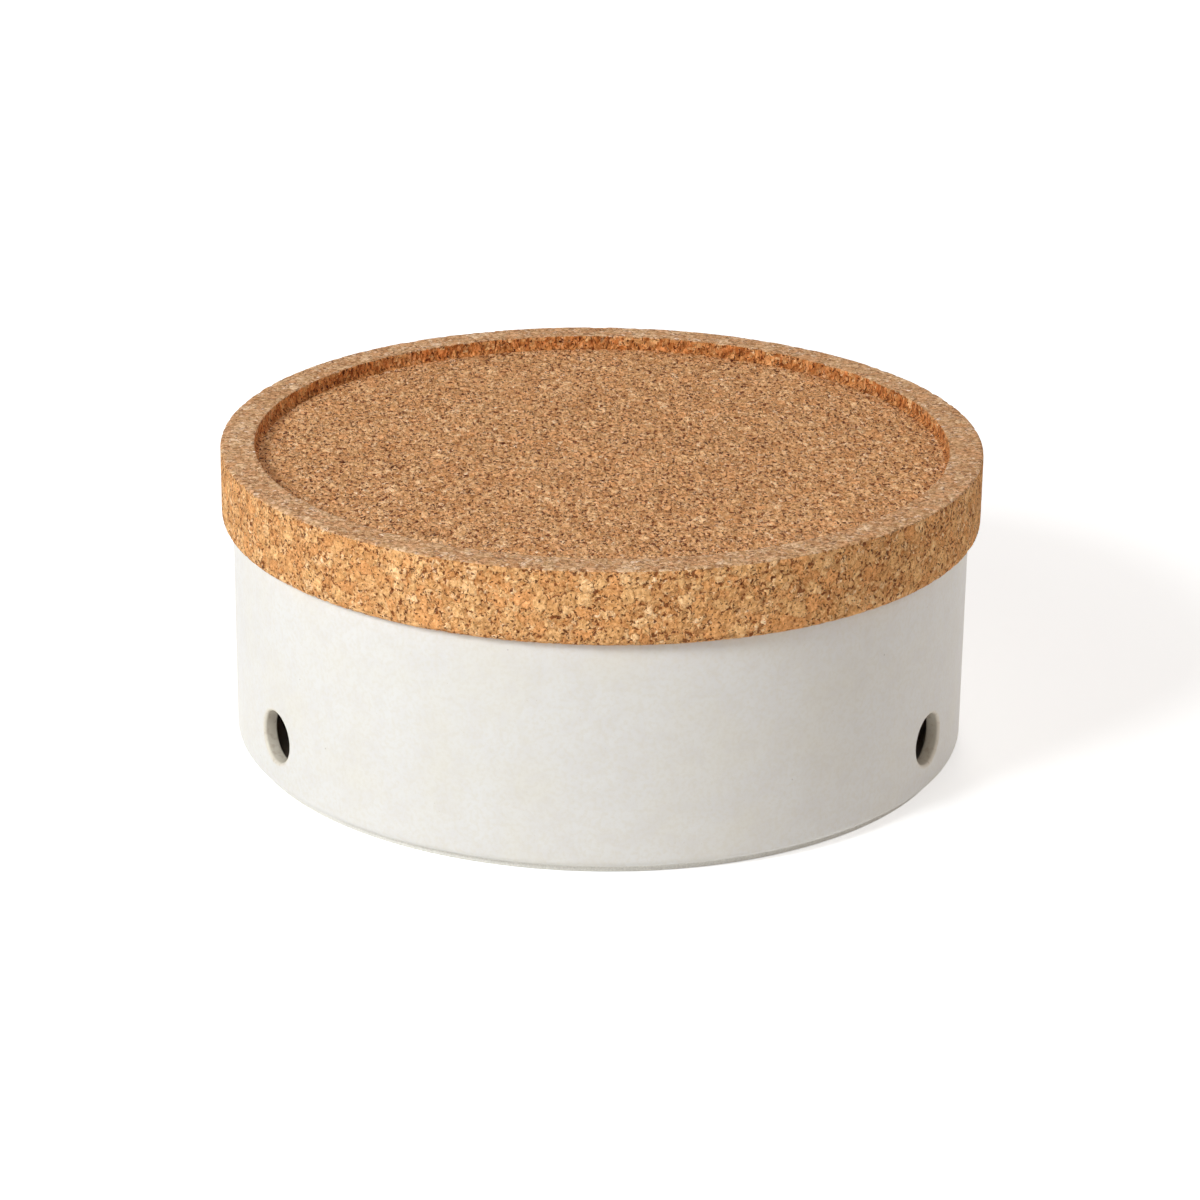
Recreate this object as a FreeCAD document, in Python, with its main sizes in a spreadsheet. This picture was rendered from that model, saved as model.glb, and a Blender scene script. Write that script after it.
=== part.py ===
import FreeCAD, Part
import math
import os

import Sketcher

# Onion storage canister: a stoneware pot with round vents low in its wall,
# closed by a turned cork lid whose top is a shallow tray. Millimetres, +Z up,
# front to -Y, origin on the pot's axis at the surface that it stands on.

SIZES = {
    # Pot: thrown wall, floor, rim and foot ring. A radius is a true rounding,
    # and an edge or corner size is the width of the small bevel that breaks it
    "body_diameter": 233.0,
    "body_height": 74.5,
    "wall_thickness": 4.5,
    "floor_thickness": 5.0,
    "heel_radius": 3.0,
    "inner_corner": 1.8,
    "rim_edge": 0.75,
    "foot_height": 2.2,
    "foot_width": 6.0,
    "foot_step": 0.2,
    "foot_edge": 0.4,
    # Pot: round vents through the wall, just above the floor
    "vent_count": 3,
    "vent_bore": 16.4,
    "vent_floor_gap": 1.45,
    "vent_edge_radius": 1.0,
    "vent_inner_edge": 0.5,
    # Lid: turned disc with a tray in its top and a plug under it
    "lid_overhang": 3.5,
    "lid_side": 23.5,
    "lid_top_edge": 0.9,
    "lid_lower_edge": 1.2,
    "tray_border": 10.75,
    "tray_depth": 4.5,
    "tray_top_edge": 0.4,
    "tray_corner": 0.9,
    "plug_depth": 8.0,
    "plug_clearance": 1.0,
    "plug_lead_in": 2.0,
}

# Radii and heights that follow from the driving sizes, as sheet expressions
BODY_RADIUS = "Sizes.body_diameter / 2"
MOUTH_RADIUS = f"{BODY_RADIUS} - Sizes.wall_thickness"
FOOT_RADIUS = f"{BODY_RADIUS} - Sizes.heel_radius - Sizes.foot_step"
FOOT_INNER_RADIUS = f"{FOOT_RADIUS} - Sizes.foot_width"
UNDERSIDE = "Sizes.foot_height"
FLOOR = f"{UNDERSIDE} + Sizes.floor_thickness"
RIM = "Sizes.body_height"
VENT_RADIUS = "Sizes.vent_bore / 2"
VENT_LEVEL = (
    f"{FLOOR} + Sizes.inner_corner + Sizes.vent_floor_gap"
    f" + Sizes.vent_edge_radius + {VENT_RADIUS}"
)
LID_RADIUS = f"{BODY_RADIUS} + Sizes.lid_overhang"
LID_TOP = f"{RIM} + Sizes.lid_side"
TRAY_RADIUS = f"{LID_RADIUS} - Sizes.tray_border"
TRAY_FLOOR = f"{LID_TOP} - Sizes.tray_depth"
PLUG_RADIUS = f"{MOUTH_RADIUS} - Sizes.plug_clearance"
PLUG_END = f"{RIM} - Sizes.plug_depth"
ZERO = "0"

# Sketcher counts its two axes down from -1, and the points of a curve up from 1
H_AXIS, V_AXIS = -1, -2
START, END, CENTRE = 1, 2, 3
NEAR = 0.01


def make_sheet(doc):
    """Hold every driving size in the spreadsheet, under its own name."""
    sheet = doc.addObject("Spreadsheet::Sheet", "Sizes")
    for row, (alias, value) in enumerate(SIZES.items(), start=1):
        sheet.set(f"A{row}", alias)
        sheet.set(f"B{row}", str(value))
        sheet.setAlias(f"B{row}", alias)
    doc.recompute()
    return sheet


def value_of(sheet, expression):
    """The value of a sheet expression as a plain number."""
    return float(sheet.evalExpression(expression))


def new_body(doc, label):
    body = doc.addObject("PartDesign::Body", label)
    body.Label = label
    return body


def origin_feature(body, role):
    """One of the body's own origin planes or axes."""
    return next(item for item in body.Origin.OriginFeatures if item.Role == role)


def new_sketch(body, name):
    """A sketch on the body's XZ plane, where X is the radius and Y the height."""
    sketch = body.newObject("Sketcher::SketchObject", name)
    sketch.AttachmentSupport = [(origin_feature(body, "XZ_Plane"), "")]
    sketch.MapMode = "FlatFace"
    return sketch


def place_point(sketch, sheet, curve, point, name, radius, height):
    """Hold a point of a curve at a radius and a height given by the sheet."""
    for kind, axis, label, expression in (
        ("DistanceX", V_AXIS, f"{name}_radius", radius),
        ("DistanceY", H_AXIS, f"{name}_height", height),
    ):
        if expression == ZERO:
            sketch.addConstraint(Sketcher.Constraint("PointOnObject", curve, point, axis))
            continue
        distance = value_of(sheet, expression)
        number = sketch.addConstraint(
            Sketcher.Constraint(kind, H_AXIS, START, curve, point, distance)
        )
        sketch.renameConstraint(number, label)
        sketch.setExpression(f"Constraints.{label}", expression)


def draw_section(sketch, sheet, corners):
    """Draw the closed half section through named corners."""
    points = [
        FreeCAD.Vector(value_of(sheet, radius), value_of(sheet, height), 0)
        for _, radius, height in corners
    ]
    lines = [
        sketch.addGeometry(Part.LineSegment(start, end))
        for start, end in zip(points, points[1:] + points[:1])
    ]
    for line, following in zip(lines, lines[1:] + lines[:1]):
        sketch.addConstraint(Sketcher.Constraint("Coincident", line, END, following, START))
    for line, (name, radius, height) in zip(lines, corners):
        place_point(sketch, sheet, line, START, name, radius, height)


def turn(body, sheet, name, corners):
    """Turn a half section about the axis, as on a wheel or a lathe."""
    section = new_sketch(body, f"{name}Section")
    draw_section(section, sheet, corners)
    feature = body.newObject("PartDesign::Revolution", name)
    feature.Profile = section
    feature.ReferenceAxis = (section, ["V_Axis"])
    feature.Angle = 360
    body.Document.recompute()
    return feature


def ring_names(shape, sheet, rings):
    """Names of the edges that run round the axis at the given radii and heights."""
    names = []
    for radius, height in rings:
        wanted_radius = value_of(sheet, radius)
        wanted_height = value_of(sheet, height)
        for number, edge in enumerate(shape.Edges, start=1):
            curve = edge.Curve
            if not isinstance(curve, Part.Circle):
                continue
            off_axis = math.hypot(curve.Center.x, curve.Center.y)
            off_height = abs(curve.Center.z - wanted_height)
            if max(off_axis, off_height, abs(curve.Radius - wanted_radius)) < NEAR:
                names.append(f"Edge{number}")
    return names


def vent_edge_names(shape, sheet, wall_radius):
    """Names of the edges where the vents come out of a face of the wall."""
    wanted = value_of(sheet, wall_radius)
    level = value_of(sheet, VENT_LEVEL)
    reach = value_of(sheet, VENT_RADIUS) + NEAR
    names = []
    for number, edge in enumerate(shape.Edges, start=1):
        points = edge.discretize(9)
        on_wall = all(abs(math.hypot(point.x, point.y) - wanted) < NEAR for point in points)
        at_vent = all(abs(point.z - level) < reach for point in points)
        if on_wall and at_vent:
            names.append(f"Edge{number}")
    return names


def soften(body, kind, name, find_edges, size):
    """Round or chamfer the edges that find_edges names on the body so far."""
    base = body.Tip
    names = find_edges(base.Shape)
    if not names:
        raise RuntimeError(f"{name}: no edge found")
    feature = body.newObject(f"PartDesign::{kind}", name)
    feature.Base = (base, names)
    feature.setExpression("Radius" if kind == "Fillet" else "Size", f"Sizes.{size}")
    body.Document.recompute()


def soften_rings(body, sheet, kind, name, size, rings):
    soften(body, kind, name, lambda shape: ring_names(shape, sheet, rings), size)


def cut_vents(body, sheet):
    """Cut one vent through the back of the wall and repeat it round the axis."""
    solid_volume = body.Tip.Shape.Volume
    outline = new_sketch(body, "VentOutline")
    circle = outline.addGeometry(
        Part.Circle(FreeCAD.Vector(0, value_of(sheet, VENT_LEVEL), 0),
                    FreeCAD.Vector(0, 0, 1), value_of(sheet, VENT_RADIUS))
    )
    place_point(outline, sheet, circle, CENTRE, "vent", ZERO, VENT_LEVEL)
    bore = outline.addConstraint(
        Sketcher.Constraint("Radius", circle, value_of(sheet, VENT_RADIUS))
    )
    outline.renameConstraint(bore, "vent_radius")
    outline.setExpression("Constraints.vent_radius", VENT_RADIUS)

    vent = body.newObject("PartDesign::Pocket", "Vent")
    vent.Profile = outline
    vent.Type = "ThroughAll"
    vent.Reversed = False
    body.Document.recompute()

    vents = body.newObject("PartDesign::PolarPattern", "Vents")
    vents.Originals = [vent]
    vents.Axis = (origin_feature(body, "Z_Axis"), [""])
    vents.Angle = 360
    vents.setExpression("Occurrences", "Sizes.vent_count")
    body.Tip = vents
    body.Document.recompute()

    bore_area = math.pi * value_of(sheet, VENT_RADIUS) ** 2
    bore_length = value_of(sheet, "Sizes.wall_thickness")
    expected = value_of(sheet, "Sizes.vent_count") * bore_area * bore_length
    removed = solid_volume - body.Tip.Shape.Volume
    if abs(removed / expected - 1) > 0.05:
        raise RuntimeError(f"vents remove {removed:.0f} mm3, not {expected:.0f} mm3")

    # The potter rounds each vent's outer edge well and only breaks the inner one
    for kind, name, wall_radius, size in (
        ("Fillet", "VentOuterEdges", BODY_RADIUS, "vent_edge_radius"),
        ("Chamfer", "VentInnerEdges", MOUTH_RADIUS, "vent_inner_edge"),
    ):
        soften(body, kind, name,
               lambda shape: vent_edge_names(shape, sheet, wall_radius), size)


def make_stoneware_body(doc, sheet):
    """Straight-walled pot on a foot ring, with rounded heel, flat rim and vents."""
    body = new_body(doc, "stoneware_body")
    turn(body, sheet, "Pot", [
        ("underside_centre", ZERO, UNDERSIDE),
        ("foot_root_inside", FOOT_INNER_RADIUS, UNDERSIDE),
        ("foot_inside", FOOT_INNER_RADIUS, ZERO),
        ("foot_outside", FOOT_RADIUS, ZERO),
        ("foot_root_outside", FOOT_RADIUS, UNDERSIDE),
        ("heel", BODY_RADIUS, UNDERSIDE),
        ("rim_outside", BODY_RADIUS, RIM),
        ("rim_inside", MOUTH_RADIUS, RIM),
        ("floor_edge", MOUTH_RADIUS, FLOOR),
        ("floor_centre", ZERO, FLOOR),
    ])
    for kind, name, size, rings in (
        ("Fillet", "Heel", "heel_radius", [(BODY_RADIUS, UNDERSIDE)]),
        ("Chamfer", "InnerCorner", "inner_corner", [(MOUTH_RADIUS, FLOOR)]),
        ("Chamfer", "RimEdges", "rim_edge", [(BODY_RADIUS, RIM), (MOUTH_RADIUS, RIM)]),
        ("Chamfer", "FootEdges", "foot_edge", [(FOOT_RADIUS, ZERO), (FOOT_INNER_RADIUS, ZERO)]),
    ):
        soften_rings(body, sheet, kind, name, size, rings)
    cut_vents(body, sheet)
    return body


def make_cork_lid(doc, sheet):
    """Cork disc that overhangs the pot, with a tray on top and a plug in the mouth."""
    body = new_body(doc, "cork_lid")
    turn(body, sheet, "Lid", [
        ("plug_centre", ZERO, PLUG_END),
        ("plug_end", PLUG_RADIUS, PLUG_END),
        ("plug_root", PLUG_RADIUS, RIM),
        ("seat_outside", LID_RADIUS, RIM),
        ("border_outside", LID_RADIUS, LID_TOP),
        ("border_inside", TRAY_RADIUS, LID_TOP),
        ("tray_corner", TRAY_RADIUS, TRAY_FLOOR),
        ("tray_centre", ZERO, TRAY_FLOOR),
    ])
    for name, size, rings in (
        ("TopEdge", "lid_top_edge", [(LID_RADIUS, LID_TOP)]),
        ("LowerEdge", "lid_lower_edge", [(LID_RADIUS, RIM)]),
        ("TrayEdge", "tray_top_edge", [(TRAY_RADIUS, LID_TOP)]),
        ("TrayCorner", "tray_corner", [(TRAY_RADIUS, TRAY_FLOOR)]),
        ("PlugLeadIn", "plug_lead_in", [(PLUG_RADIUS, PLUG_END)]),
    ):
        soften_rings(body, sheet, "Chamfer", name, size, rings)
    return body


def check(doc, bodies):
    """Stop before anything is written if a feature or a solid failed."""
    for item in doc.Objects:
        if "Invalid" in item.State or "Error" in item.State:
            raise RuntimeError(f"{item.Label} failed: {item.State}")
    for body in bodies:
        shape = body.Shape
        if shape.isNull() or not shape.isValid() or len(shape.Solids) != 1:
            raise RuntimeError(f"{body.Label} is not one valid solid")
        print(f"{body.Label}: {shape.Volume / 1000:.1f} cm3, {len(shape.Faces)} faces")


def main():
    doc = FreeCAD.newDocument("OnionCanister")
    sheet = make_sheet(doc)
    bodies = [make_stoneware_body(doc, sheet), make_cork_lid(doc, sheet)]
    doc.recompute()
    check(doc, bodies)
    os.makedirs("parts", exist_ok=True)
    for body in bodies:
        body.Shape.exportStep(f"parts/{body.Label}.step")


main()
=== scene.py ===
import math

import bmesh
import bpy
from bpy.props import FloatProperty, FloatVectorProperty, IntProperty, PointerProperty
from mathutils import Matrix, Vector, noise


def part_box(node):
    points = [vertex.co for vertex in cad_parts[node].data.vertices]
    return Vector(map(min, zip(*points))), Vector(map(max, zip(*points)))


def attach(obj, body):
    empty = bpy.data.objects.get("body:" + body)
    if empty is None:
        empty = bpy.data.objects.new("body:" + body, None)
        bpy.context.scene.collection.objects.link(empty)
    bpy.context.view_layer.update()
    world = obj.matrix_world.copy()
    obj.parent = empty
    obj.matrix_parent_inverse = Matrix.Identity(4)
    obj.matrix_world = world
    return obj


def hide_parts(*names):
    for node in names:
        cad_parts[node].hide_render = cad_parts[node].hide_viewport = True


bl_info = {
    "name": "Onion Canister",
    "version": (1, 0, 0),
    "blender": (4, 5, 0),
    "location": "3D View > Sidebar > Canister",
    "description": "Builds a vented stoneware canister with a turned cork lid, and its stage",
    "category": "Object",
}

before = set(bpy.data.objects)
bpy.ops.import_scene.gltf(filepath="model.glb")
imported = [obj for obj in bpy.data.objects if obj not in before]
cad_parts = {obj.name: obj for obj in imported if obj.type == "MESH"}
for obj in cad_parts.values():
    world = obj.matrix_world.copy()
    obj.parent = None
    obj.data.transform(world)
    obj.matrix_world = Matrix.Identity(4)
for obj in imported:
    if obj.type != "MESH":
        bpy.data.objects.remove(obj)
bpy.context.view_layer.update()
POT_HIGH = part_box("stoneware_body")[1]
LID_LOW, LID_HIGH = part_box("cork_lid")

MM = 0.001
PER_MM = 1000.0
NEAR = 0.02 * MM

# Sockets that share their name with others of the same node are found by number
MIX_FACTOR, MIX_VALUE_A, MIX_VALUE_B, MIX_COLOUR_A, MIX_COLOUR_B = 0, 2, 3, 6, 7
MIX_VALUE_OUT, MIX_COLOUR_OUT = 0, 2
RANGE_FROM_LOW, RANGE_FROM_HIGH, RANGE_TO_LOW, RANGE_TO_HIGH = 7, 8, 9, 10


def srgb(text):
    """Turn an sRGB hex colour into the linear colour that sockets take."""
    parts = [int(text[i:i + 2], 16) / 255 for i in (1, 3, 5)]
    return [c / 12.92 if c <= 0.04045 else ((c + 0.055) / 1.055) ** 2.4 for c in parts]


def mm_property(name, value, description):
    """A length that is written in millimetres and kept in metres."""
    return FloatProperty(name=name, description=description, default=value * MM,
                         unit="LENGTH", min=0.0)


def colour_property(name, value, description):
    """A colour that is written as sRGB hex and kept as linear."""
    return FloatVectorProperty(name=name, description=description, default=srgb(value),
                               subtype="COLOR", size=3, min=0.0, max=1.0)


class StonewareSettings(bpy.types.PropertyGroup):
    """Sizes and colours of the pot"""
    wall: mm_property("Wall", 4.5, "Thickness of the wall")
    floor: mm_property("Floor", 5.0, "Thickness of the floor")
    heel: mm_property("Heel radius", 3.0, "Rounding where the wall turns under")
    inner_corner: mm_property("Inner corner", 2.0, "Rounding between floor and wall")
    rim_edge: mm_property("Rim edge", 1.25, "Rounding of both edges of the rim")
    foot_height: mm_property("Foot height", 2.2, "How far the foot ring stands down")
    foot_width: mm_property("Foot width", 6.0, "Width of the flat foot ring")
    foot_step: mm_property("Foot step", 0.2, "Shelf between heel and foot ring")
    foot_edge: mm_property("Foot edge", 0.6, "Rounding of the foot's edges")
    vent_bore: mm_property("Vent bore", 16.4, "Diameter of each vent")
    vent_level: mm_property("Vent level", 19.65, "Height of the vents' centres")
    vent_outer_edge: mm_property("Vent edge", 1.0, "Glaze rounding outside")
    vent_inner_edge: mm_property("Inner vent edge", 0.6, "Glaze rounding inside")
    vents: IntProperty(name="Vents", description="Vents round the wall", default=3, min=1)
    glaze: colour_property("Glaze", "#EBE8E3", "Warm white satin glaze")
    clay: colour_property("Clay", "#F0ECE3", "Bare fired clay of the foot")


class CorkSettings(bpy.types.PropertyGroup):
    """Sizes and colours of the lid"""
    top_edge: mm_property("Top edge", 0.8, "Rounding of the upper outer edge")
    lower_edge: mm_property("Lower edge", 2.0, "Rounding of the lower outer edge")
    border: mm_property("Border", 10.75, "Width of the raised border")
    tray_depth: mm_property("Tray depth", 4.5, "Depth of the recess in the top")
    tray_edge: mm_property("Tray edge", 0.4, "Rounding of the recess's upper edge")
    tray_corner: mm_property("Tray corner", 1.2, "Rounding at the recess's floor")
    plug_clearance: mm_property("Plug clearance", 1.0, "Gap between plug and mouth")
    plug_lead_in: mm_property("Plug lead-in", 2.0, "Chamfer at the plug's end")
    side_colour: colour_property("Side", "#F2B97F", "Turned side, golden tan")
    border_colour: colour_property("Border", "#E6B98F", "Sanded border, greyer tan")
    floor_colour: colour_property("Tray floor", "#F5BC87", "Tray floor, mid brown")
    wall_colour: colour_property("Tray wall", "#E49C60", "Cut tray wall, orange brown")


class StageSettings(bpy.types.PropertyGroup):
    """The camera, and the height that it and the lamps aim at"""
    lens: FloatProperty(name="Lens", description="Focal length", default=112.4,
                        min=1.0, unit="CAMERA")
    distance: mm_property("Distance", 1200.0, "Camera to the middle of the canister")
    elevation: FloatProperty(name="Elevation", description="Camera above the horizon",
                             default=math.radians(20.72), subtype="ANGLE")
    azimuth: FloatProperty(name="Azimuth", description="Camera's turn to the left",
                           default=math.radians(1.4), subtype="ANGLE")
    tilt: FloatProperty(name="Tilt", description="Camera's small tilt off the aim",
                        default=math.radians(0.313), subtype="ANGLE")
    roll: FloatProperty(name="Roll", description="Camera's roll",
                        default=math.radians(-0.76), subtype="ANGLE")
    aim_height: mm_property("Aim height", 50.0, "Height that camera and lamps aim at")


def turned(section, steps):
    """Spin a half section from axis to axis into a closed solid about Z."""
    bm = bmesh.new()
    verts = [bm.verts.new((radius, 0, height)) for radius, height in section]
    edges = [bm.edges.new(pair) for pair in zip(verts, verts[1:])]
    bmesh.ops.spin(bm, geom=verts + edges, cent=(0, 0, 0), axis=(0, 0, 1), dvec=(0, 0, 0),
                   angle=math.tau, steps=steps, use_merge=True, use_duplicate=False)
    bmesh.ops.remove_doubles(bm, verts=bm.verts, dist=NEAR / 10)
    bmesh.ops.recalc_face_normals(bm, faces=bm.faces)
    return bm


def section_place(vert):
    """Where a point lies in the half section: its radius and height."""
    return Vector((math.hypot(vert.co.x, vert.co.y), vert.co.z))


def round_ring(bm, radius, height, width, segments):
    """Bevel the ring of edges at one corner of the section."""
    corner = Vector((radius, height))
    ring = [
        edge for edge in bm.edges
        if all((section_place(vert) - corner).length < NEAR for vert in edge.verts)
    ]
    if not ring:
        raise RuntimeError(f"no ring at radius {radius:.4f}, height {height:.4f}")
    bmesh.ops.bevel(bm, geom=ring, offset=width, offset_type="OFFSET", segments=segments,
                    profile=0.5, affect="EDGES", clamp_overlap=False, material=-1)


def divide_bands(bm, spacing, wanted):
    """Cut long bands of the turned mesh into bands of about one spacing."""
    groups = {}
    for edge in bm.edges:
        ends = sorted((section_place(vert) for vert in edge.verts), key=tuple)
        length = (ends[1] - ends[0]).length
        if length > 1.5 * spacing and wanted(ends[0], ends[1]):
            key = tuple(round(c / NEAR) for end in ends for c in end)
            groups.setdefault(key, []).append((edge, length))
    for group in groups.values():
        cuts = max(1, round(group[0][1] / spacing) - 1)
        bmesh.ops.subdivide_edges(bm, edges=[edge for edge, _ in group], cuts=cuts)


def finish_piece(bm, name, body, node, materials):
    """Turn a bmesh into a smooth piece that rides on its body in place of its node."""
    mesh = bpy.data.meshes.new(name)
    bm.to_mesh(mesh)
    bm.free()
    mesh.shade_smooth()
    for material in materials:
        mesh.materials.append(material)
    piece = bpy.data.objects.new(name, mesh)
    bpy.context.scene.collection.objects.link(piece)
    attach(piece, body)
    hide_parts(node)
    return piece


def add_node(tree, kind, inputs=None, **settings):
    """Add a shader node with its settings, and with values or links on its inputs."""
    node = tree.nodes.new(kind)
    for key, value in settings.items():
        setattr(node, key, value)
    for key, value in (inputs or {}).items():
        if isinstance(value, bpy.types.NodeSocket):
            tree.links.new(value, node.inputs[key])
        else:
            node.inputs[key].default_value = value
    return node


def empty_tree(owner):
    """Give a material or a world an empty node tree."""
    owner.use_nodes = True
    owner.node_tree.nodes.clear()
    return owner.node_tree


def new_material(name):
    """A material with a Principled surface that is still to be set."""
    material = bpy.data.materials.new(name)
    tree = empty_tree(material)
    surface = add_node(tree, "ShaderNodeBsdfPrincipled")
    add_node(tree, "ShaderNodeOutputMaterial", {"Surface": surface.outputs["BSDF"]})
    return material, tree, surface


def set_ramp(node, stops):
    """Give a colour ramp its stops, as (position, linear colour) pairs."""
    ramp = node.color_ramp
    while len(ramp.elements) < len(stops):
        ramp.elements.new(1.0)
    for element, (position, colour) in zip(ramp.elements, stops):
        element.position = position
        element.color = (*colour[:3], 1.0)


# Browns of the granules against the mean colour, from dark bark to pale cream
GRANULE_TINTS = (
    (0.00, (0.50, 0.40, 0.32)),
    (0.07, (0.82, 0.68, 0.54)),
    (0.22, (1.03, 0.86, 0.70)),
    (0.38, (0.94, 0.85, 0.71)),
    (0.55, (1.00, 0.98, 0.90)),
    (0.78, (1.12, 1.16, 1.12)),
    (0.92, (1.20, 1.34, 1.50)),
    (1.00, (1.38, 1.70, 2.25)),
)
# The orange-brown of the painted shade at a granule's rim, against the mean colour
RIM_SHADE_TINT = (0.66, 0.46, 0.30)
# For each size of granule, the share of its cells that cover the smaller sizes, and
# how far its browns stay off the darkest and the palest
GRANULE_LAYERS = ((1.0, 0.0), (0.5, 0.05), (0.35, 0.1))
# A change of level moves blue more than red, so that dark places are also redder
LEVEL_SWING = (0.75, 1.0, 1.4)
# Brown of the painted shade in the crevices
CREVICE_SHADE_BROWN = "#74340F"
# Brown of the painted shade in the pits
PIT_SHADE_BROWN = "#5A2A0F"


def bend_space(tree, in_mm, granule):
    """Bend the space a little, so that the granules are not straight-sided."""
    bend = add_node(tree, "ShaderNodeTexNoise",
                    {"Vector": in_mm, "Scale": 0.9 / granule, "Detail": 3.0})
    centred = add_node(tree, "ShaderNodeVectorMath",
                       {0: bend.outputs["Color"], 1: (0.5, 0.5, 0.5)}, operation="SUBTRACT")
    offset = add_node(tree, "ShaderNodeVectorMath",
                      {0: centred.outputs["Vector"], "Scale": 2.0 * granule},
                      operation="SCALE")
    return add_node(tree, "ShaderNodeVectorMath",
                    {0: in_mm, 1: offset.outputs["Vector"]}, operation="ADD").outputs["Vector"]


def press_granules(tree, bent, granules):
    """Press granules of several sizes together: a larger one covers the smaller where
    its cell is picked. Gives each granule's brown, as a place on the ramp, and the
    distance to its edge in millimetres."""
    shade = edge = None
    for size, (share, calm) in zip(granules, GRANULE_LAYERS):
        cells = add_node(tree, "ShaderNodeTexVoronoi", {"Vector": bent, "Scale": 1 / size})
        rims = add_node(tree, "ShaderNodeTexVoronoi", {"Vector": bent, "Scale": 1 / size},
                        feature="DISTANCE_TO_EDGE")
        draws = add_node(tree, "ShaderNodeSeparateColor", {"Color": cells.outputs["Color"]})
        drawn = add_node(tree, "ShaderNodeMapRange",
                         {"Value": draws.outputs["Green"], "To Min": calm,
                          "To Max": 1 - calm}).outputs["Result"]
        rim_mm = add_node(tree, "ShaderNodeMath", {0: rims.outputs["Distance"], 1: size},
                          operation="MULTIPLY").outputs["Value"]
        if shade is None:
            shade, edge = drawn, rim_mm
            continue
        picked = add_node(tree, "ShaderNodeMath", {0: draws.outputs["Red"], 1: share},
                          operation="LESS_THAN").outputs["Value"]
        shade = add_node(tree, "ShaderNodeMix",
                         {MIX_FACTOR: picked, MIX_VALUE_A: shade,
                          MIX_VALUE_B: drawn}).outputs[MIX_VALUE_OUT]
        edge = add_node(tree, "ShaderNodeMix",
                        {MIX_FACTOR: picked, MIX_VALUE_A: edge,
                         MIX_VALUE_B: rim_mm}).outputs[MIX_VALUE_OUT]
    return shade, edge


def cut_through_flakes(tree, tint, in_mm, bent, flake, facet_depth, mottle_depth):
    """Vary the browns as cut granules do: crisp facets of small flakes over a soft
    mottle of cells, and slow drifts over the whole block."""
    facets = add_node(tree, "ShaderNodeTexVoronoi", {"Vector": bent, "Scale": 1 / flake})
    facet = add_node(tree, "ShaderNodeSeparateColor", {"Color": facets.outputs["Color"]})
    mottle = add_node(tree, "ShaderNodeTexNoise",
                      {"Vector": in_mm, "Scale": 1 / (2 * flake), "Detail": 2.0})
    drift = add_node(tree, "ShaderNodeTexNoise", {"Vector": in_mm, "Scale": 1 / 16.0})
    for draw, low, high, depth in (
        (facet.outputs["Blue"], 0.0, 1.0, facet_depth),
        (mottle.outputs["Fac"], 0.25, 0.75, mottle_depth),
        (drift.outputs["Fac"], 0.25, 0.75, 0.08),
    ):
        swing = [depth * share for share in LEVEL_SWING]
        level = add_node(tree, "ShaderNodeMapRange",
                         {"Vector": draw, RANGE_FROM_LOW: [low] * 3,
                          RANGE_FROM_HIGH: [high] * 3,
                          RANGE_TO_LOW: [max(0, 1 - part) for part in swing],
                          RANGE_TO_HIGH: [1 + part for part in swing]},
                         data_type="FLOAT_VECTOR")
        tint = add_node(tree, "ShaderNodeVectorMath",
                        {0: tint, 1: level.outputs["Vector"]},
                        operation="MULTIPLY").outputs["Vector"]
    return tint


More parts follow.
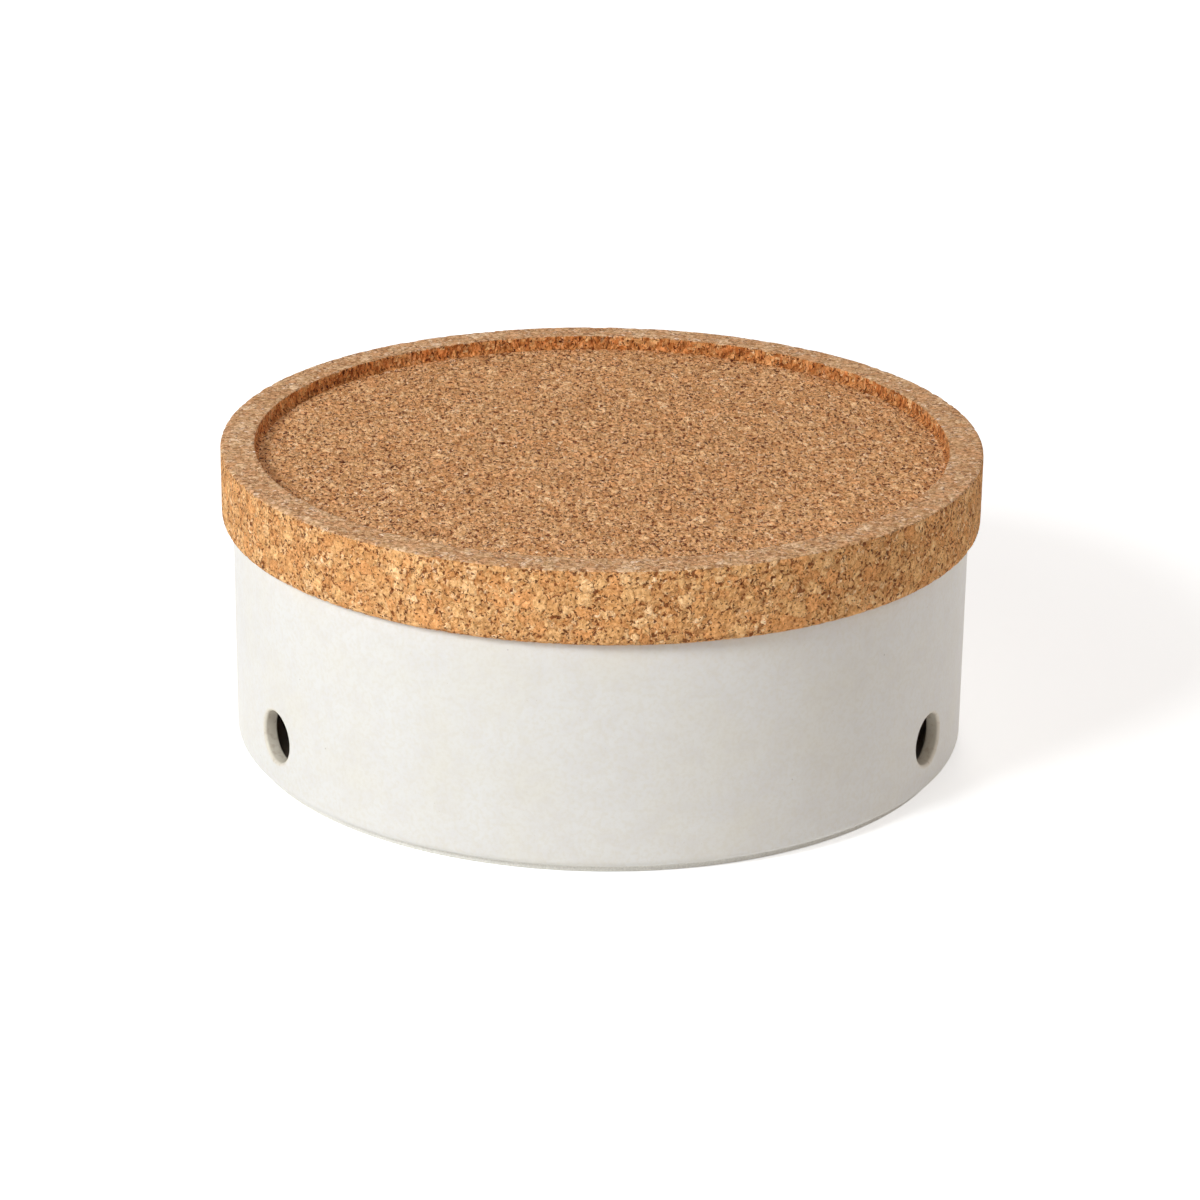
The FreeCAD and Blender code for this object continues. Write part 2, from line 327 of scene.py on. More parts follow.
def cork_material(name, colour, granules, variety, flakes, gap_and_pit_shade, relief,
                  stretch=(1, 1, 1)):
    """Agglomerated cork: pressed granules of mixed sizes and browns, glued edge to
    edge, with crevices where they don't quite meet. It gives the eye crisp
    blotches of golden, salmon and cream, a dry surface, no shine, and short dark marks
    of painted shade: the crevices and the pits are drawn dark, and the granules' rims a
    warmer brown. The granules' sizes, fine to coarse, and the relief are in millimetres.
    The flakes are given as their size in millimetres and how far their facets and the
    mottle change the brown. The stretch lengthens the whole pattern along X, Y and Z."""
    material, tree, surface = new_material(name)
    finest = granules[0]
    flake, facet_depth, mottle_depth = flakes
    place = add_node(tree, "ShaderNodeTexCoord").outputs["Object"]
    in_mm = add_node(tree, "ShaderNodeMapping",
                     {"Vector": place,
                      "Scale": [PER_MM / times for times in stretch]}).outputs["Vector"]
    bent = bend_space(tree, in_mm, finest)
    shade, edge = press_granules(tree, bent, granules)
    browns = add_node(tree, "ShaderNodeValToRGB", {"Fac": shade})
    set_ramp(browns, [
        (position, [c * (1 + (factor - 1) * variety) for c, factor in zip(colour, factors)])
        for position, factors in GRANULE_TINTS
    ])

    # Painted shade: granules darken to orange-brown at their rims, where they slope down to
    # the crevices
    rim = add_node(tree, "ShaderNodeMapRange",
                   {"Value": edge, "From Min": 0.0, "From Max": 0.22 * finest,
                    "To Min": 0.5 * variety, "To Max": 0.0})
    rim_shade_brown = [*(c * factor for c, factor in zip(colour, RIM_SHADE_TINT)), 1.0]
    tint = add_node(tree, "ShaderNodeMix",
                    {MIX_FACTOR: rim.outputs["Result"], MIX_COLOUR_A: browns.outputs["Color"],
                     MIX_COLOUR_B: rim_shade_brown}, data_type="RGBA").outputs[MIX_COLOUR_OUT]
    tint = cut_through_flakes(tree, tint, in_mm, bent, flake, facet_depth, mottle_depth)

    # Painted shade: dark crevices of uneven width along parts of the granules' edges
    broken = add_node(tree, "ShaderNodeTexNoise",
                      {"Vector": in_mm, "Scale": 1 / 1.3, "Detail": 1.0})
    width = add_node(tree, "ShaderNodeMapRange",
                     {"Value": broken.outputs["Fac"], "From Min": 0.54, "From Max": 0.72,
                      "To Max": 0.38 * finest}).outputs["Result"]
    inside = add_node(tree, "ShaderNodeMath", {0: width, 1: edge}, operation="SUBTRACT")
    crevice_shade = add_node(tree, "ShaderNodeMapRange",
                       {"Value": inside.outputs["Value"], "From Min": 0.0,
                        "From Max": 0.1, "To Max": 0.9 * gap_and_pit_shade}).outputs["Result"]

    # Painted shade in the pits: small torn pits, and the deeper ones that are cut into the
    # mesh, are drawn dark
    torn_pit_shade = add_node(tree, "ShaderNodeTexNoise",
                    {"Vector": bent, "Scale": 1 / (0.6 * finest), "Detail": 0.0})
    pit = add_node(tree, "ShaderNodeMapRange",
                   {"Value": torn_pit_shade.outputs["Fac"], "From Min": 0.70, "From Max": 0.74,
                    "To Max": gap_and_pit_shade}).outputs["Result"]
    deep_pit_shade = add_node(tree, "ShaderNodeAttribute", attribute_name="torn_pit_shade").outputs["Fac"]
    all_pit_shade = add_node(tree, "ShaderNodeMath", {0: pit, 1: deep_pit_shade}, operation="MAXIMUM",
                    use_clamp=True).outputs["Value"]
    for share, brown in ((crevice_shade, CREVICE_SHADE_BROWN), (all_pit_shade, PIT_SHADE_BROWN)):
        tint = add_node(tree, "ShaderNodeMix",
                        {MIX_FACTOR: share, MIX_COLOUR_A: tint,
                         MIX_COLOUR_B: (*srgb(brown), 1)},
                        data_type="RGBA").outputs[MIX_COLOUR_OUT]

    # Relief: granules stand a little proud of their crevices and pits, and are uneven
    proud = add_node(tree, "ShaderNodeMapRange",
                     {"Value": edge, "From Min": 0.0, "From Max": 0.5 * finest},
                     interpolation_type="SMOOTHSTEP")
    height = add_node(tree, "ShaderNodeMath",
                      {0: proud.outputs["Result"], 1: pit}, operation="SUBTRACT")
    uneven = add_node(tree, "ShaderNodeTexNoise",
                      {"Vector": in_mm, "Scale": 1 / (2 * flake), "Detail": 0.0})
    height = add_node(tree, "ShaderNodeMath",
                      {0: uneven.outputs["Fac"], 1: 2.0, 2: height.outputs["Value"]},
                      operation="MULTIPLY_ADD")
    bump = add_node(tree, "ShaderNodeBump",
                    {"Height": height.outputs["Value"], "Strength": 1.0,
                     "Distance": relief * MM})
    tree.links.new(tint, surface.inputs["Base Color"])
    tree.links.new(bump.outputs["Normal"], surface.inputs["Normal"])
    surface.inputs["Roughness"].default_value = 0.9
    surface.inputs["Specular IOR Level"].default_value = 0.2
    return material


def glaze_material(settings):
    """Satin stoneware glaze: warm white, fired on a speckled clay. It gives the eye a
    soft even sheen, faint warm and cool clouds, warm darker edges round the vents and
    in their bores, which are thin glaze and painted shade, and tiny dark specks."""
    material, tree, surface = new_material("satin_stoneware_glaze")
    place = add_node(tree, "ShaderNodeTexCoord").outputs["Object"]
    in_mm = add_node(tree, "ShaderNodeMapping",
                     {"Vector": place, "Scale": (PER_MM, PER_MM, PER_MM)}).outputs["Vector"]

    # Clouds in the glaze, from broad to fine
    tint = [*settings.glaze, 1.0]
    for size, colour, depth in ((22.0, "#EAE4D6", 0.5), (6.0, "#E4DFDA", 0.45),
                                (1.3, "#E3DCCE", 0.45)):
        cloud = add_node(tree, "ShaderNodeTexNoise",
                         {"Vector": in_mm, "Scale": 1 / size, "Detail": 2.0})
        share = add_node(tree, "ShaderNodeMapRange",
                         {"Value": cloud.outputs["Fac"], "From Min": 0.42, "From Max": 0.68,
                          "To Max": depth})
        tint = add_node(tree, "ShaderNodeMix",
                        {MIX_FACTOR: share.outputs["Result"], MIX_COLOUR_A: tint,
                         MIX_COLOUR_B: (*srgb(colour), 1)},
                        data_type="RGBA").outputs[MIX_COLOUR_OUT]

    # Over the vents' edges and in their bores the glaze is drawn warmer and darker, with brown
    # stains in the bores: partly thin glaze, partly painted shade of the rounding and the bore
    vent_thin_and_shade = add_node(tree, "ShaderNodeAttribute", attribute_name="vent_thin_and_shade").outputs["Fac"]
    stains_and_shade = add_node(tree, "ShaderNodeTexNoise",
                      {"Vector": in_mm, "Scale": 1 / 1.6, "Detail": 3.0})
    stained_and_shaded = add_node(tree, "ShaderNodeMapRange",
                       {"Value": stains_and_shade.outputs["Fac"], "From Min": 0.52, "From Max": 0.68})
    for level, colour, depth in ((1.0, "#E6DAC2", 0.6),
                                 (stained_and_shaded.outputs["Result"], "#B29C84", 0.35)):
        share = add_node(tree, "ShaderNodeMath", {0: vent_thin_and_shade, 1: level}, operation="MULTIPLY")
        share = add_node(tree, "ShaderNodeMath", {0: share.outputs["Value"], 1: depth},
                         operation="MULTIPLY")
        tint = add_node(tree, "ShaderNodeMix",
                        {MIX_FACTOR: share.outputs["Value"], MIX_COLOUR_A: tint,
                         MIX_COLOUR_B: (*srgb(colour), 1)},
                        data_type="RGBA").outputs[MIX_COLOUR_OUT]

    # Iron specks that burn through the glaze, large and few, then small and pale
    for spacing, radius, least, colour in ((7.0, 0.30, 0.55, "#9C9186"),
                                           (2.6, 0.16, 0.40, "#C9BCA8")):
        specks = add_node(tree, "ShaderNodeTexVoronoi",
                          {"Vector": in_mm, "Scale": 1 / spacing})
        near = add_node(tree, "ShaderNodeMapRange",
                        {"Value": specks.outputs["Distance"], "From Min": radius / spacing,
                         "From Max": 0.4 * radius / spacing})
        draw = add_node(tree, "ShaderNodeSeparateColor", {"Color": specks.outputs["Color"]})
        kept = add_node(tree, "ShaderNodeMapRange",
                        {"Value": draw.outputs["Red"], "From Min": least,
                         "From Max": 1.0, "To Max": 0.8})
        share = add_node(tree, "ShaderNodeMath",
                         {0: near.outputs["Result"], 1: kept.outputs["Result"]},
                         operation="MULTIPLY")
        tint = add_node(tree, "ShaderNodeMix",
                        {MIX_FACTOR: share.outputs["Value"], MIX_COLOUR_A: tint,
                         MIX_COLOUR_B: (*srgb(colour), 1)},
                        data_type="RGBA").outputs[MIX_COLOUR_OUT]

    # Soft throwing waves and the glaze's fine orange-peel
    waves = add_node(tree, "ShaderNodeTexNoise", {"Vector": in_mm, "Scale": 1 / 18.0})
    peel = add_node(tree, "ShaderNodeTexNoise", {"Vector": in_mm, "Scale": 1 / 0.9})
    height = add_node(tree, "ShaderNodeMath",
                      {0: peel.outputs["Fac"], 1: 0.06, 2: waves.outputs["Fac"]},
                      operation="MULTIPLY_ADD")
    bump = add_node(tree, "ShaderNodeBump",
                    {"Height": height.outputs["Value"], "Strength": 0.6,
                     "Distance": 0.12 * MM})
    tree.links.new(tint, surface.inputs["Base Color"])
    tree.links.new(bump.outputs["Normal"], surface.inputs["Normal"])
    surface.inputs["Roughness"].default_value = 0.45
    surface.inputs["Specular IOR Level"].default_value = 0.3
    surface.inputs["Coat Weight"].default_value = 0.2
    surface.inputs["Coat Roughness"].default_value = 0.3
    return material


def clay_material(settings):
    """Bare fired clay on the foot ring, left unglazed so that the pot does not stick
    to the kiln shelf. It gives the eye a dry, sandy, pale line."""
    material, tree, surface = new_material("bare_fired_clay")
    place = add_node(tree, "ShaderNodeTexCoord").outputs["Object"]
    sand = add_node(tree, "ShaderNodeTexNoise",
                    {"Vector": place, "Scale": PER_MM / 0.6, "Detail": 3.0})
    tones = add_node(tree, "ShaderNodeValToRGB", {"Fac": sand.outputs["Fac"]})
    set_ramp(tones, [(0.3, [0.9 * c for c in settings.clay]),
                     (0.7, [1.1 * c for c in settings.clay])])
    bump = add_node(tree, "ShaderNodeBump",
                    {"Height": sand.outputs["Fac"], "Strength": 0.5, "Distance": 0.1 * MM})
    tree.links.new(tones.outputs["Color"], surface.inputs["Base Color"])
    tree.links.new(bump.outputs["Normal"], surface.inputs["Normal"])
    surface.inputs["Roughness"].default_value = 0.85
    return material


# The first vent is at the back, and the others follow evenly round the wall
BACK = math.radians(90)
# Each vent has a collar of even faces round it, on which the thin glaze and the painted shade
# of the vent begin
VENT_COLLAR = 1.3 * MM
THIN_AND_SHADE_FADE = 0.8 * MM


def open_window(bm, settings, angle, wall_radius, half):
    """Take the wall's faces out of a window round a vent and draw its edge in to the
    bore: first to a collar that keeps the rounding's faces even, then to the bore."""
    def across(point):
        turn = math.atan2(point.y, point.x) - angle
        turn = math.atan2(math.sin(turn), math.cos(turn))
        return turn * wall_radius

    def in_window(face):
        centre = face.calc_center_median()
        on_wall = abs(math.hypot(centre.x, centre.y) - wall_radius) < 0.05 * MM
        return (on_wall and abs(across(centre)) < half
                and abs(centre.z - settings.vent_level) < half)

    bmesh.ops.delete(bm, geom=[face for face in bm.faces if in_window(face)], context="FACES")
    loop = [edge for edge in bm.edges if edge.is_boundary
            and abs(section_place(edge.verts[0]).x - wall_radius) < NEAR]
    for radius in (settings.vent_bore / 2 + VENT_COLLAR, settings.vent_bore / 2):
        made = bmesh.ops.extrude_edge_only(bm, edges=loop)["geom"]
        for vert in (item for item in made if isinstance(item, bmesh.types.BMVert)):
            height = vert.co.z - settings.vent_level
            way = math.atan2(height, across(vert.co))
            turn = angle + radius * math.cos(way) / wall_radius
            vert.co = (wall_radius * math.cos(turn), wall_radius * math.sin(turn),
                       settings.vent_level + radius * math.sin(way))
        loop = [item for item in made
                if isinstance(item, bmesh.types.BMEdge) and item.is_boundary]
    return loop


def cut_vent(bm, settings, angle, outer, inner, half):
    """Open one round vent through the wall, with both of its edges rounded."""
    loops = [open_window(bm, settings, angle, radius, half) for radius in (outer, inner)]
    rings = [set(vert for edge in loop for vert in edge.verts) for loop in loops]
    bmesh.ops.bridge_loops(bm, edges=loops[0] + loops[1])
    for ring, width, segments in zip(
        rings, (settings.vent_outer_edge, settings.vent_inner_edge), (6, 4)
    ):
        edges = [edge for edge in bm.edges if all(vert in ring for vert in edge.verts)]
        bmesh.ops.bevel(bm, geom=edges, offset=width, offset_type="OFFSET",
                        segments=segments, profile=0.5, affect="EDGES",
                        clamp_overlap=True, material=-1)


class CANISTER_OT_pot(bpy.types.Operator):
    """Build the stoneware pot with its foot ring, rim and vents"""
    bl_idname = "canister.pot"
    bl_label = "Stoneware Pot"

    STEPS = 360
    # Half the side of the window in which a vent is cut, the height of the rows of
    # faces there, and the height of the other bands
    WINDOW = 10.4 * MM
    ROW = 1.89 * MM
    BAND = 8 * MM
    # Length and depth of the waves that the wheel and the kiln leave in the wall
    WAVE = 45 * MM
    WAVE_DEPTH = 0.12 * MM

    def execute(self, context):
        settings = context.scene.stoneware
        outer, rim = POT_HIGH.x, POT_HIGH.z
        inner = outer - settings.wall
        foot = outer - settings.heel - settings.foot_step
        foot_inner = foot - settings.foot_width
        underside = settings.foot_height
        floor = underside + settings.floor
        vent_low = settings.vent_level - self.WINDOW
        vent_high = settings.vent_level + self.WINDOW
        bm = turned([
            (0, underside), (foot_inner, underside), (foot_inner, 0), (foot, 0),
            (foot, underside), (outer, underside), (outer, vent_low), (outer, vent_high),
            (outer, rim), (inner, rim), (inner, vent_high),
            (inner, vent_low), (inner, floor), (0, floor),
        ], self.STEPS)
        for radius, height, width, segments in (
            (outer, underside, settings.heel, 8),
            (inner, floor, settings.inner_corner, 6),
            (outer, rim, settings.rim_edge, 6),
            (inner, rim, settings.rim_edge, 6),
            (foot, 0, settings.foot_edge, 3),
            (foot_inner, 0, settings.foot_edge, 3),
        ):
            round_ring(bm, radius, height, width, segments)
        divide_bands(bm, self.ROW, lambda a, b: abs(a.x - b.x) < NEAR
                     and vent_low - NEAR < a.y and b.y < vent_high + NEAR)
        divide_bands(bm, self.BAND, lambda a, b: True)
        for number in range(settings.vents):
            angle = BACK + number * math.tau / settings.vents
            cut_vent(bm, settings, angle, outer, inner, self.WINDOW + NEAR)
        self.mark_thin_glaze_and_shade(bm, settings, inner)
        self.make_uneven(bm, underside, rim - settings.rim_edge)
        bm.normal_update()
        # The foot ring is bare clay, and all the rest is glazed
        for face in bm.faces:
            centre = face.calc_center_median()
            on_foot = math.hypot(centre.x, centre.y) < foot + NEAR
            face.material_index = int(on_foot and centre.z < underside - NEAR)
        finish_piece(bm, "stoneware_pot", "canister_body",
                     "stoneware_body", [glaze_material(settings), clay_material(settings)])
        return {"FINISHED"}

    def mark_thin_glaze_and_shade(self, bm, settings, inner):
        """Mark where the glaze runs thin and where the vents' shade is painted: over the
        vents' edges and in their bores.
        """
        vent_thin_and_shade = bm.verts.layers.float.new("vent_thin_and_shade")
        pitch = math.tau / settings.vents
        for vert in bm.verts:
            radius = math.hypot(vert.co.x, vert.co.y)
            turn = math.atan2(vert.co.y, vert.co.x) - BACK
            turn -= round(turn / pitch) * pitch
            reach = math.hypot(turn * radius, vert.co.z - settings.vent_level)
            share = (settings.vent_bore / 2 + VENT_COLLAR - reach) / THIN_AND_SHADE_FADE
            vert[vent_thin_and_shade] = min(1.0, max(0.0, share)) if radius > inner - NEAR else 0.0

    def make_uneven(self, bm, low, high):
        """Move the wall in and out a little between two heights."""
        for vert in bm.verts:
            if low < vert.co.z < high:
                swing = noise.noise(vert.co / self.WAVE) * self.WAVE_DEPTH
                vert.co.xy += vert.co.xy.normalized() * swing


def even_disc(bm, radius, height, steps):
    """Close a round opening with a disc of triangles that are all about one size. It
    starts as a hexagon at height 0, where the piece has nothing else."""
    hexagon = bmesh.ops.create_circle(bm, cap_ends=True, cap_tris=True, segments=6,
                                      radius=radius,
                                      matrix=Matrix.Rotation(-math.pi / 2, 4, "Z"))
    edges = {edge for vert in hexagon["verts"] for edge in vert.link_edges}
    bmesh.ops.subdivide_edges(bm, edges=list(edges), cuts=steps // 6 - 1,
                              use_grid_fill=True)
    sixth = math.tau / 6
    for vert in (vert for vert in bm.verts if vert.co.z < NEAR):
        # A place in the hexagon becomes its ring's radius and its share of the turn
        side = math.floor((math.atan2(vert.co.y, vert.co.x) % math.tau) / sixth + 1e-6)
        start, end = side * sixth, (side + 1) * sixth
        along_start = vert.co.x * math.sin(end) - vert.co.y * math.cos(end)
        along_end = vert.co.y * math.cos(start) - vert.co.x * math.sin(start)
        ring = (along_start + along_end) / math.sin(sixth)
        turn = start + sixth * along_end / max(along_start + along_end, NEAR * NEAR)
        vert.co = (ring * math.cos(turn), ring * math.sin(turn), height)
    bmesh.ops.remove_doubles(bm, verts=bm.verts, dist=NEAR)
    bmesh.ops.recalc_face_normals(bm, faces=bm.faces)


def torn_away(place, spacing, reach, seed, least):
    """How far a place lies in a torn spot, from 0 at its brim to 1 at its middle. The
    spots lie at random points about a spacing apart, reach is their radius against the
    spacing, and only those whose draw is over the least are torn."""
    distances, points = noise.voronoi(place / spacing)
    kept = noise.cell(points[0] * seed) > least
    return max(0.0, 1 - distances[0] / reach) if kept else 0.0


class CANISTER_OT_lid(bpy.types.Operator):
    """Build the turned cork lid with its tray, border and plug"""
    bl_idname = "canister.lid"
    bl_label = "Cork Lid"

    STEPS = 780
    BAND = 0.9 * MM
    # Depths in millimetres: pits at random granules, larger crumbs lost near the edges,
    # single small crumbs on cut and on sanded cork, and the uneven surface
    PIT = 0.30
    LOST = 0.45
    CUT_CRUMB = 0.50
    SANDED_CRUMB = 0.10
    UNEVEN = 0.05
    # How far apart these are, and how far from an edge the larger crumbs are lost
    PIT_SPACING = 2.1 * MM
    LOST_SPACING = 3.4 * MM
    CRUMB_SPACING = 0.7 * MM
    UNEVEN_SPACING = 2.5 * MM
    EDGE_REACH = 2.2 * MM
    # Dimension, lacunarity and octaves of the uneven surface
    UNEVEN_FRACTAL = (1.0, 2.0, 3)
    # How dark a pit's middle is drawn, as painted shade
    PIT_SHADE = 0.7
    # Numbers of the finishes; each face starts with 0, the side's
    BORDER, TRAY_FLOOR, TRAY_WALL = 1, 2, 3

    def execute(self, context):
        settings = context.scene.cork
        outer, top, seat = LID_HIGH.x, LID_HIGH.z, POT_HIGH.z
        tray = outer - settings.border
        tray_floor = top - settings.tray_depth
        plug = POT_HIGH.x - context.scene.stoneware.wall - settings.plug_clearance
        plug_end = LID_LOW.z
        open_floor = tray - 2 * settings.tray_corner
        bm = turned([
            (0, plug_end), (plug, plug_end), (plug, seat), (outer, seat),
            (outer, top), (tray, top), (tray, tray_floor), (open_floor, tray_floor),
        ], self.STEPS)
        for radius, height, width, segments in (
            (plug, plug_end, settings.plug_lead_in, 1),
            (outer, seat, settings.lower_edge, 4),
            (outer, top, settings.top_edge, 3),
            (tray, top, settings.tray_edge, 2),
            (tray, tray_floor, settings.tray_corner, 2),
        ):
            round_ring(bm, radius, height, width, segments)
        divide_bands(bm, self.BAND, lambda a, b: b.y > seat + NEAR
                     and max(a.x, b.x) > tray - NEAR)
        even_disc(bm, open_floor, tray_floor, self.STEPS)
        self.tear(bm, settings, outer, tray, top, seat)
        self.give_finishes(bm, settings, tray, top, seat)
        finish_piece(bm, "cork_lid_turned", "lid", "cork_lid",
                     self.finishes(settings))
        return {"FINISHED"}

    def tear(self, bm, settings, outer, tray, top, seat):
        """Cut every point above the seat in or out along its normal."""
        bm.normal_update()
        # A layer that carries the pits' painted shade to the cork's material
        torn_pit_shade = bm.verts.layers.float.new("torn_pit_shade")
        edges = (Vector((outer, top)), Vector((tray, top)), Vector((outer, seat)))
        for vert in bm.verts:
            place = section_place(vert)
            if place.y < seat + NEAR:
                continue
            reach = min((place - edge).length for edge in edges)
            near_edge = max(0.0, 1 - reach / self.EDGE_REACH)
            pit = torn_away(vert.co, self.PIT_SPACING, reach=0.42, seed=7.0, least=0.45)
            lost = near_edge * torn_away(vert.co, self.LOST_SPACING, reach=0.62, seed=5.0,
                                         least=0.1)
            crumb = max(0.0, noise.cell(vert.co / self.CRUMB_SPACING) - 0.5) / 0.5
            uneven = noise.fractal(vert.co / self.UNEVEN_SPACING, *self.UNEVEN_FRACTAL)
            sanded = place.x >= tray + settings.tray_edge and place.y > top - settings.top_edge
            rough = self.SANDED_CRUMB if sanded else self.CUT_CRUMB
            depth = self.PIT * pit + self.LOST * lost + rough * crumb - self.UNEVEN * uneven
            vert.co -= vert.normal * depth * MM
            # The pit's middle gets painted shade
            vert[torn_pit_shade] = min(1.0, self.PIT_SHADE * pit)

    def give_finishes(self, bm, settings, tray, top, seat):
        """Tell the side, the border, the tray's floor and the tray's wall apart."""
        for face in bm.faces:
            centre = face.calc_center_median()
            radius = math.hypot(centre.x, centre.y)
            if radius < tray - settings.tray_corner and centre.z > seat:
                face.material_index = self.TRAY_FLOOR
            elif radius < tray + 0.3 * settings.tray_edge and centre.z > seat:
                face.material_index = self.TRAY_WALL
            elif centre.z > top - 0.5 * settings.top_edge:
                face.material_index = self.BORDER

    def finishes(self, settings):
        """The four finishes of the cork, in the order of their numbers. The tray's
        granules are too fine to show when they are seen at a low angle, so on its floor
        they are drawn longer from front to back, and on its wall from top to bottom."""
        return [
            cork_material("turned_cork", settings.side_colour, granules=(1.3, 2.5, 4.2),
                          variety=0.9, flakes=(0.6, 0.26, 0.25), gap_and_pit_shade=0.9, relief=0.3),
            cork_material("sanded_cork", settings.border_colour, granules=(1.3, 2.2, 3.6),
                          variety=0.8, flakes=(0.8, 0.35, 0.3), gap_and_pit_shade=0.6, relief=0.2),
            cork_material("tray_floor_cork", settings.floor_colour,
                          granules=(1.2, 1.7, 2.6), variety=0.75, flakes=(0.7, 0.36, 0.3),
                          gap_and_pit_shade=1.0, relief=0.45, stretch=(1, 1.6, 1)),
            cork_material("cut_tray_wall_cork", settings.wall_colour,
                          granules=(1.1, 1.7, 2.8), variety=0.9, flakes=(0.7, 0.45, 0.45),
                          gap_and_pit_shade=1.0, relief=0.5, stretch=(1, 1, 1.6)),
        ]


def direction(azimuth, elevation):
    """The way from the canister to a lamp or camera; azimuth runs from the front to
    the right, in radians."""
    return Vector((math.sin(azimuth) * math.cos(elevation),
                   -math.cos(azimuth) * math.cos(elevation), math.sin(elevation)))


def shows_background(tree):
    """1 for the rays that see the floor and the world as a plain background: those of
    the camera, and those that gloss and glass send on."""
    path = add_node(tree, "ShaderNodeLightPath")
    seen = path.outputs["Is Camera Ray"]
    for ray in ("Is Glossy Ray", "Is Transmission Ray"):
        seen = add_node(tree, "ShaderNodeMath", {0: seen, 1: path.outputs[ray]},
                        operation="MAXIMUM").outputs["Value"]
    return seen


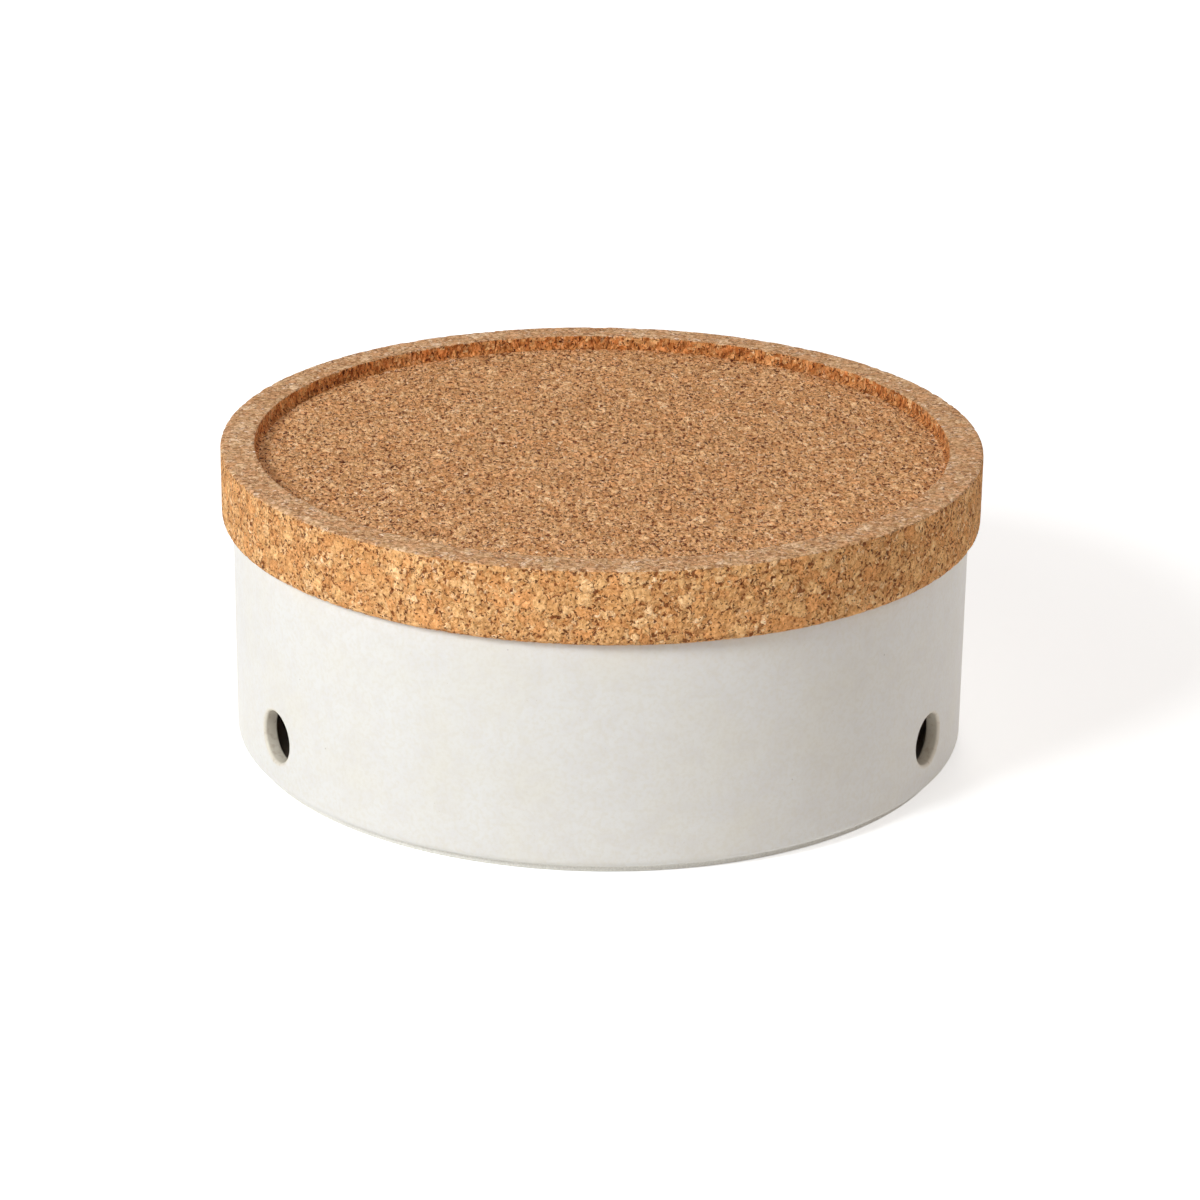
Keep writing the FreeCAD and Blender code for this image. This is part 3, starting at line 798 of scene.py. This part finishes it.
class CANISTER_OT_stage(bpy.types.Operator):
    """Build the pale floor, the studio light and the camera"""
    bl_idname = "canister.stage"
    bl_label = "Stage"

    # Name, azimuth and elevation in degrees, size in metres, strength and colour
    LAMPS = (
        ("key_lamp", -47, 34, 0.5, 1.08, (0.92, 0.97, 1.0)),
        ("fill_lamp", 65, 40, 0.7, 0.15, (1.0, 0.92, 0.85)),
        ("back_lamp", 175, 35, 0.5, 0.25, (1.0, 0.97, 0.94)),
    )
    LAMP_DISTANCE = 1.6
    # Brightness of a white face turned to a lamp of strength 1, against full white
    LIT_WHITE = 0.6
    # Soft light from all round, a little warm
    SOFT_COLOUR = (1.0, 0.95, 0.915, 1)
    SOFT_STRENGTH = 0.295
    FLOOR_RADIUS = 6.0
    # How far the floor is lifted to white near the object and far off, and the distances
    # in metres between which that grows
    NEAR_LIFT, FAR_LIFT = 0.48, 0.85
    LIFT_START, LIFT_END = 0.2, 1.2

    def execute(self, context):
        scene, settings = context.scene, context.scene.stage
        self.build_floor(scene)
        self.light_world(scene)
        aim = Vector((0, 0, settings.aim_height))
        for lamp in self.LAMPS:
            self.hang_lamp(scene, aim, *lamp)
        self.place_camera(scene, aim, settings)
        scene.view_settings.view_transform = "Standard"
        return {"FINISHED"}

    def build_floor(self, scene):
        """A wide pale floor that shows white to the camera but keeps the shadow."""
        bm = bmesh.new()
        bmesh.ops.create_circle(bm, cap_ends=True, segments=64, radius=self.FLOOR_RADIUS)
        mesh = bpy.data.meshes.new("floor")
        bm.to_mesh(mesh)
        bm.free()
        material = bpy.data.materials.new("pale_floor")
        tree = empty_tree(material)
        # The lift grows with the distance from the object, so that far floor stays white
        place = add_node(tree, "ShaderNodeTexCoord").outputs["Object"]
        far = add_node(tree, "ShaderNodeVectorMath", {0: place}, operation="LENGTH")
        grown = add_node(tree, "ShaderNodeMapRange",
                         {"Value": far.outputs["Value"], "From Min": self.LIFT_START,
                          "From Max": self.LIFT_END, "To Min": self.NEAR_LIFT,
                          "To Max": self.FAR_LIFT})
        lift = add_node(tree, "ShaderNodeMath",
                        {0: shows_background(tree), 1: grown.outputs["Result"]},
                        operation="MULTIPLY")
        glow = add_node(tree, "ShaderNodeEmission", {"Strength": lift.outputs["Value"]})
        matt = add_node(tree, "ShaderNodeBsdfDiffuse", {"Color": (0.96, 0.96, 0.96, 1)})
        both = add_node(tree, "ShaderNodeAddShader",
                        {0: glow.outputs["Emission"], 1: matt.outputs["BSDF"]})
        add_node(tree, "ShaderNodeOutputMaterial", {"Surface": both.outputs["Shader"]})
        mesh.materials.append(material)
        floor = bpy.data.objects.new("floor", mesh)
        scene.collection.objects.link(floor)

    def light_world(self, scene):
        """Soft light from all round, with plain white as the background."""
        world = bpy.data.worlds.new("studio")
        tree = empty_tree(world)
        soft = add_node(tree, "ShaderNodeBackground",
                        {"Color": self.SOFT_COLOUR, "Strength": self.SOFT_STRENGTH})
        white = add_node(tree, "ShaderNodeBackground",
                         {"Color": (1, 1, 1, 1), "Strength": 1.0})
        mixed = add_node(tree, "ShaderNodeMixShader",
                         {0: shows_background(tree), 1: soft.outputs["Background"],
                          2: white.outputs["Background"]})
        add_node(tree, "ShaderNodeOutputWorld", {"Surface": mixed.outputs["Shader"]})
        scene.world = world

    def hang_lamp(self, scene, aim, name, azimuth, elevation, size, strength, colour):
        """An area lamp aimed at the canister, with the power that lights a white face
        turned to it to about LIT_WHITE times its strength."""
        lamp = bpy.data.lights.new(name, "AREA")
        lamp.shape = "DISK"
        lamp.size = size
        lamp.color = colour
        lamp.energy = strength * self.LIT_WHITE * math.pi ** 2 * self.LAMP_DISTANCE ** 2
        way = direction(math.radians(azimuth), math.radians(elevation))
        holder = bpy.data.objects.new(name, lamp)
        holder.location = aim + way * self.LAMP_DISTANCE
        holder.rotation_euler = way.to_track_quat("Z", "Y").to_euler()
        holder.visible_camera = False
        scene.collection.objects.link(holder)

    def place_camera(self, scene, aim, settings):
        """The photograph's camera: a long lens looking down a little."""
        back = direction(-settings.azimuth, settings.elevation)
        camera = bpy.data.cameras.new("camera")
        camera.sensor_width = 36.0
        camera.lens = settings.lens
        camera.clip_start, camera.clip_end = 0.05, 50.0
        holder = bpy.data.objects.new("camera", camera)
        facing = back.to_track_quat("Z", "Y").to_matrix()
        own = Matrix.Rotation(settings.roll, 3, "Z") @ Matrix.Rotation(settings.tilt, 3, "X")
        place = Matrix.Translation(aim + back * settings.distance)
        holder.matrix_world = place @ (facing @ own.inverted()).to_4x4()
        scene.collection.objects.link(holder)
        scene.camera = holder


class CANISTER_PT_panel(bpy.types.Panel):
    """Buttons and sizes of the canister's pieces"""
    bl_idname = "CANISTER_PT_panel"
    bl_label = "Onion Canister"
    bl_space_type = "VIEW_3D"
    bl_region_type = "UI"
    bl_category = "Canister"

    def draw(self, context):
        for operator in OPERATORS:
            self.layout.operator(operator.bl_idname)
        for group in (context.scene.stoneware, context.scene.cork, context.scene.stage):
            box = self.layout.box()
            for name in group.__annotations__:
                box.prop(group, name)


OPERATORS = (CANISTER_OT_pot, CANISTER_OT_lid, CANISTER_OT_stage)
GROUPS = {"stoneware": StonewareSettings, "cork": CorkSettings, "stage": StageSettings}


def register():
    for cls in (*GROUPS.values(), *OPERATORS, CANISTER_PT_panel):
        bpy.utils.register_class(cls)
    for name, group in GROUPS.items():
        setattr(bpy.types.Scene, name, PointerProperty(type=group))


def unregister():
    for name in GROUPS:
        delattr(bpy.types.Scene, name)
    for cls in (CANISTER_PT_panel, *reversed(OPERATORS), *GROUPS.values()):
        bpy.utils.unregister_class(cls)


def main():
    register()
    bpy.ops.canister.pot()
    bpy.ops.canister.lid()
    bpy.ops.canister.stage()


if __name__ == "__main__":
    main()
